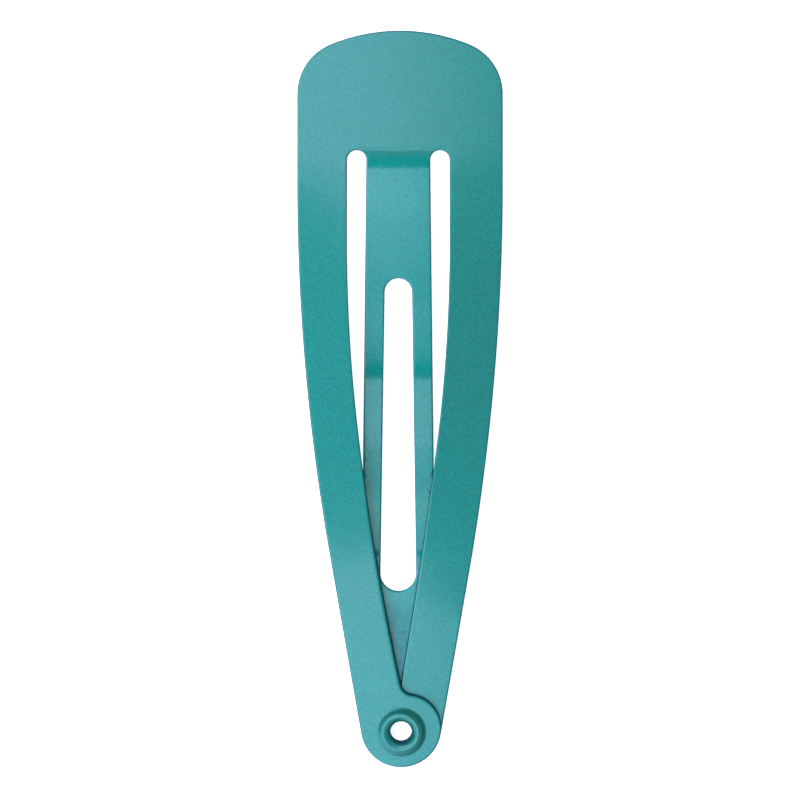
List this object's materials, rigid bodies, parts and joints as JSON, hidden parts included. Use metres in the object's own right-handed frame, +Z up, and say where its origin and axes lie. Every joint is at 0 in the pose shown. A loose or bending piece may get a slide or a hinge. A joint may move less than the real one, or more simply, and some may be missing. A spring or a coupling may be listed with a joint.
{
  "type": "snap hair clip",
  "caption": "Bowed snap hair clip of painted sheet steel: wide head, two legs riveted together at the tip, and a slotted, creased tongue between them.",
  "frame": {"origin": "on the surface the clip lies on, below the middle of its length and width", "axes": "+Y towards the wide head, +Z up out of the bowed front face, +X to the right leg"},
  "size_m": [0.014, 0.05, 0.0029],
  "materials": {
    "frame_paint": "glossy teal metallic paint",
    "tongue_paint": "glossy teal metallic paint",
    "eyelet_paint": "glossy teal metallic paint"
  },
  "bodies": {
    "frame": {"frame": "frame_paint", "eyelet": "eyelet_paint"},
    "tongue": {"tongue": "tongue_paint"}
  },
  "joints": [
    {"name": "tongue_flex", "type": "hinge", "parent": "frame", "child": "tongue", "pos_m": [0, 0.01646, 0.00132], "axis": [1, 0, 0], "range_deg": [0, 25]}
  ]
}
